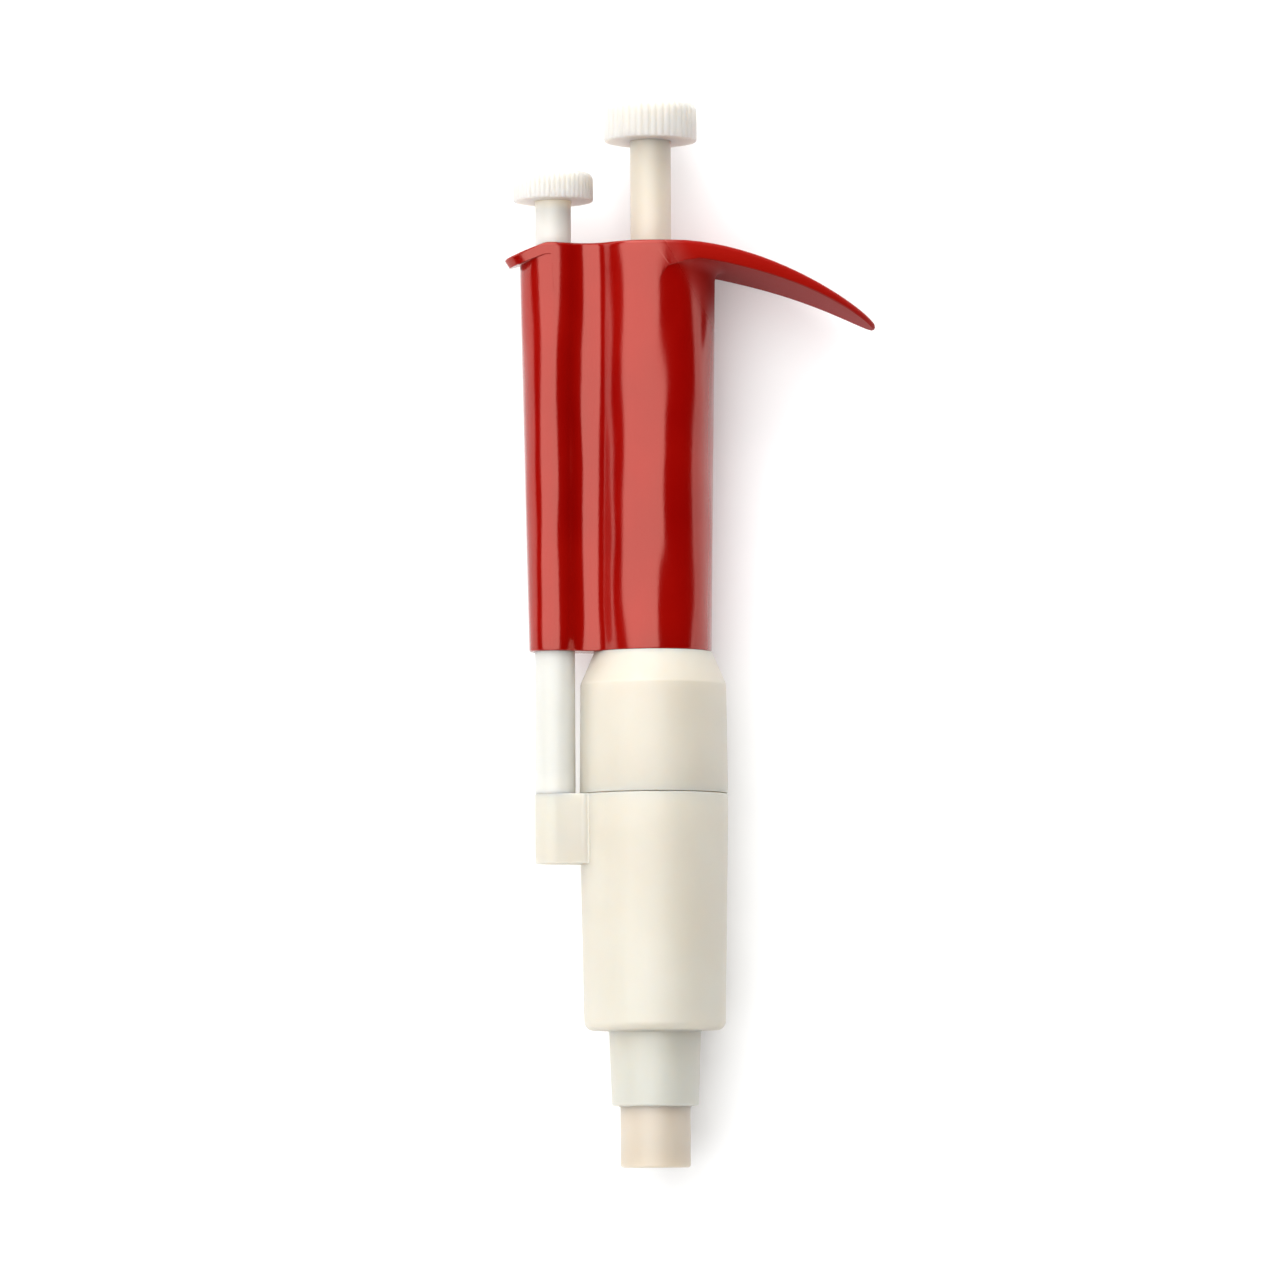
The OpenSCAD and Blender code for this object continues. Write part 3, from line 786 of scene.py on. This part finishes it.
def makeBarrelHead():
    h = head
    coneSlope = math.degrees(math.atan2(handleFoot - h["shoulder"], h["shoulderRadius"] - h["coneRadius"]))
    coneTop = handleFoot - h["gap"]
    roundMiddle = (h["shoulderRadius"] - h["round"], h["shoulder"] - h["roundDrop"])
    outside = [
        (h["bore"], headFoot), (h["footRadius"] - h["footEdge"], headFoot),
        (h["footRadius"] - h["footEdge"] * 0.3, headFoot + h["footEdge"] * 0.3),
        (h["footRadius"], headFoot + h["footEdge"]),
        (mix(h["footRadius"], h["shoulderRadius"], 0.5), mix(headFoot, h["shoulder"], 0.5)),
    ]
    outside += arc(roundMiddle, h["round"], 0, 90 - coneSlope, 6)
    outside += [(h["coneRadius"], coneTop)]
    inside = [
        (h["neck"], coneTop), (h["neck"], headTop), (h["guide"], headTop),
        (h["guide"], headTop - h["guideHeight"]), (h["vent"], headTop - h["guideHeight"]),
        (h["vent"], h["boreTop"]), (h["bore"], h["boreTop"]),
    ]
    finishPiece(turned("barrel_head_shell", outside + inside), "housing", "cream_plastic", ["barrel_head"])


sleeve = {
    "topRadius": 16.0, "footRadius": 15.2, "shoulder": 29.3, "footRound": 2.0, "rimEdge": 0.3,
    "noseTop": 9.85, "noseFoot": 9.3, "noseEdge": 0.5, "innerFillet": 0.35,
    "bore": 13.1, "noseBore": 8.1, "floor": 2.2,
    "lugRadius": 4.4, "lugHeight": 15.0, "lugEdge": 0.35, "lugFlare": 1.3,
    "lugJoin": 15.1, "lugInner": 13.6,  # where its webs meet the sleeve, and where it ends in the wall
    "lugTopEdge": (0.12, 0.15),
    "tubeHole": 2.52, "screwHole": 2.4, "lugFloor": (2, 5),  # the floor's height is between these
}


def lugOutline(inset):
    # Half round on the ejector's axis, straight webs, and flares where they meet the sleeve
    s = sleeve
    r, flare = s["lugRadius"] - inset, s["lugFlare"]
    joinX = -s["lugJoin"] - flare
    upper = arc((-offset, 0), r, 90, 270, 36)
    lower = arc((joinX, -r - flare), flare, 90, 0, 6)
    mirrored = [(x, -y) for x, y in reversed(lower)]
    return upper + lower + [(-s["lugInner"], -r - flare), (-s["lugInner"], r + flare)] + mirrored


def makeSleeve():
    s = sleeve
    outside = [(s["noseBore"], sleeveFoot), (s["noseFoot"] - s["noseEdge"], sleeveFoot)]
    outside += arc((s["noseFoot"] - s["noseEdge"], sleeveFoot + s["noseEdge"]), s["noseEdge"], -60, 0, 3)
    outside += [(s["noseTop"], s["shoulder"] - s["innerFillet"])]
    outside += [(s["noseTop"] + s["innerFillet"], s["shoulder"])]
    roundMiddle = (s["footRadius"] - s["footRound"], s["shoulder"] + s["footRound"])
    outside += arc(roundMiddle, s["footRound"], -90, 0, 9)
    for step in range(1, 6):
        outside.append((
            mix(s["footRadius"], s["topRadius"], step / 6),
            mix(s["shoulder"] + s["footRound"], sleeveTop - s["rimEdge"], step / 6),
        ))
    outside += arc((s["topRadius"] - s["rimEdge"], sleeveTop - s["rimEdge"]), s["rimEdge"], 0, 90, 3)
    inside = [
        (s["bore"], sleeveTop), (s["bore"], s["shoulder"] + s["floor"]),
        (s["noseBore"], s["shoulder"] + s["floor"]),
    ]
    body = turned("ejector_sleeve_shell", outside + inside)
    lugFoot = sleeveTop - s["lugHeight"]
    edge = s["lugEdge"]
    levels = [(edge, 0), (edge * 0.3, edge * 0.3), (0, edge)]  # inset and height
    levels += [(0, s["lugHeight"] - s["lugTopEdge"][1]), (s["lugTopEdge"][0], s["lugHeight"])]
    lug = growRings("lug", [[(x, y, lugFoot + z) for x, y in lugOutline(inset)] for inset, z in levels])
    joinSolid(body, lug, "UNION")
    low, high = s["lugFloor"]
    joinSolid(body, cutter(s["tubeHole"], lugFoot + high, sleeveTop + 2, -offset, 48), "DIFFERENCE")
    joinSolid(body, cutter(s["screwHole"], lugFoot - 2, lugFoot + low, -offset, 48), "DIFFERENCE")
    finishPiece(body, "ejector", "cream_plastic", ["ejector_sleeve"], 38)


barrel = {
    "cone": 7.5, "coneTop": 13.0, "edge": 0.55, "mouth": 5.17, "mouthEdge": 0.25, "filterTop": 8.05,
    "neck": 7.8, "neckTop": 32.3, "outer": 12.5, "outerFoot": 35.0, "bore": 10.0, "boreFloor": 36.0,
    "air": 1.5,
}


def makeBarrel():
    b = barrel
    top = footAndTop("barrel")[1]
    profile = [(b["mouth"], b["mouthEdge"]), (b["mouth"] + b["mouthEdge"], 0), (b["cone"] - b["edge"], 0)]
    profile += arc((b["cone"] - b["edge"], b["edge"]), b["edge"], -67, 0, 4)
    profile += [
        (b["cone"], b["coneTop"]), (b["neck"], b["coneTop"]), (b["neck"], b["neckTop"]),
        (b["outer"], b["outerFoot"]), (b["outer"], top), (b["bore"], top), (b["bore"], b["boreFloor"]),
        (b["air"], b["boreFloor"]), (b["air"], b["filterTop"]), (b["mouth"], b["filterTop"]),
    ]
    finishPiece(turned("barrel_body", profile), "housing", "nose_plastic", ["barrel"])


def dressCadNodes():
    # Every node keeps its own shape and takes its slot's finish
    slots = {part["node"]: part["material_slot"] for part in frame["record"]["subparts"]}
    for name, node in frame["nodes"].items():
        node.data.materials.clear()
        node.data.materials.append(finishes[slots[name]])


makeCamera()
makeRoom()
makeBench()
print("camera, light and bench ready")
dressCadNodes()
makeHandle()
for buttonNode in buttons:
    makeButton(buttonNode)
makeBarrelHead()
makeSleeve()
makeBarrel()
